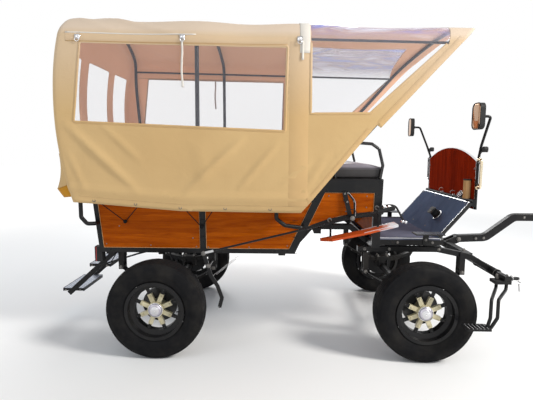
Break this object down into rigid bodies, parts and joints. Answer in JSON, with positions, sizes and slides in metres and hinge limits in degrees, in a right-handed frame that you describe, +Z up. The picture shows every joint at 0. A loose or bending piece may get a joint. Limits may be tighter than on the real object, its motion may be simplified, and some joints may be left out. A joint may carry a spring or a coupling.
{
  "type": "covered horse-drawn wagonette",
  "caption": "Covered horse-drawn wagonette: canvas top with clear windows on bows, wooden tub with benches, driver's seat and dash, sprung axles, swivelling fore-carriage and pole.",
  "frame": {"origin": "on the ground, midway between the rear edge of the lower rear tread and the front of the pole's eye, on the middle plane", "axes": "+X forward along the pole, +Y to the carriage's left, +Z up; the brake lever is on the -Y side"},
  "size_m": [5.8359, 1.878, 2.3893],
  "materials": {
    "tyre": "matt",
    "rim_paint": "satin",
    "hub_paint": "satin",
    "frame_paint": "satin",
    "varnished_wood": "glossy varnish",
    "floor_board": "satin",
    "tread_metal": "brushed",
    "trim_metal": "satin",
    "canvas": "matt",
    "window_film": "clear",
    "cushion": "satin",
    "black_plastic": "matt",
    "red_lens": "gloss"
  },
  "bodies": {
    "body": {"bench_backs": "cushion", "bench_boxes": "varnished_wood", "bench_cushions": "cushion", "board_trims": "trim_metal", "brake_linkage": "frame_paint", "canopy_bows": "frame_paint", "canopy_rear": "canvas", "canopy_roof": "canvas", "canopy_side_left": "canvas", "canopy_side_right": "canvas", "canopy_windows": "window_film", "chassis_frame": "frame_paint", "dash_board": "varnished_wood", "dash_rails": "frame_paint", "driver_back": "cushion", "driver_cushion": "cushion", "fender_boards": "frame_paint", "foot_pedal": "black_plastic", "footboard": "floor_board", "front_lamps": "black_plastic", "mirrors": "black_plastic", "rear_axle": "frame_paint", "rear_springs": "frame_paint", "rear_step_frame": "frame_paint", "rear_step_treads": "tread_metal", "seat_arms": "frame_paint", "seat_boards": "varnished_wood", "seat_frame": "frame_paint", "side_panels": "varnished_wood", "side_plates": "frame_paint", "tail_lamps": "black_plastic", "tail_lenses": "red_lens", "tail_panels": "varnished_wood", "toe_board": "floor_board", "tub_floor": "floor_board", "tub_frame": "frame_paint", "whip_holder": "varnished_wood"},
    "turning_gear": {"front_axle": "frame_paint", "front_springs": "frame_paint", "fore_carriage": "frame_paint", "swivel_ring": "frame_paint", "driver_steps": "frame_paint"},
    "pole": {"pole": "frame_paint"},
    "rear_door": {"rear_door": "varnished_wood"},
    "wheel_rear_right": {"tyre_rear_right": "tyre", "rim_rear_right": "rim_paint", "hub_rear_right": "hub_paint"},
    "wheel_rear_left": {"tyre_rear_left": "tyre", "rim_rear_left": "rim_paint", "hub_rear_left": "hub_paint"},
    "wheel_front_right": {"tyre_front_right": "tyre", "rim_front_right": "rim_paint", "hub_front_right": "hub_paint"},
    "wheel_front_left": {"tyre_front_left": "tyre", "rim_front_left": "rim_paint", "hub_front_left": "hub_paint"}
  },
  "joints": [
    {"name": "steering", "type": "hinge", "parent": "body", "child": "turning_gear", "pos_m": [-0.158, 0, 0.71], "axis": [0, 0, 1], "range_deg": [-60, 60]},
    {"name": "pole_lift", "type": "hinge", "parent": "turning_gear", "child": "pole", "pos_m": [0.342, 0, 0.702], "axis": [0, -1, 0], "range_deg": [0, 20]},
    {"name": "rear_door_hinge", "type": "hinge", "parent": "body", "child": "rear_door", "pos_m": [-2.43898, 0.26, 0.69916], "axis": [0.0599, 0, -0.9982], "range_deg": [0, 100]},
    {"name": "spin_rear_right", "type": "hinge", "parent": "body", "child": "wheel_rear_right", "pos_m": [-1.988, -0.725, 0.34], "axis": [0, 1, 0], "continuous": true},
    {"name": "spin_rear_left", "type": "hinge", "parent": "body", "child": "wheel_rear_left", "pos_m": [-1.988, 0.725, 0.34], "axis": [0, 1, 0], "continuous": true},
    {"name": "spin_front_right", "type": "hinge", "parent": "turning_gear", "child": "wheel_front_right", "pos_m": [-0.158, -0.725, 0.34], "axis": [0, 1, 0], "continuous": true},
    {"name": "spin_front_left", "type": "hinge", "parent": "turning_gear", "child": "wheel_front_left", "pos_m": [-0.158, 0.725, 0.34], "axis": [0, 1, 0], "continuous": true}
  ]
}
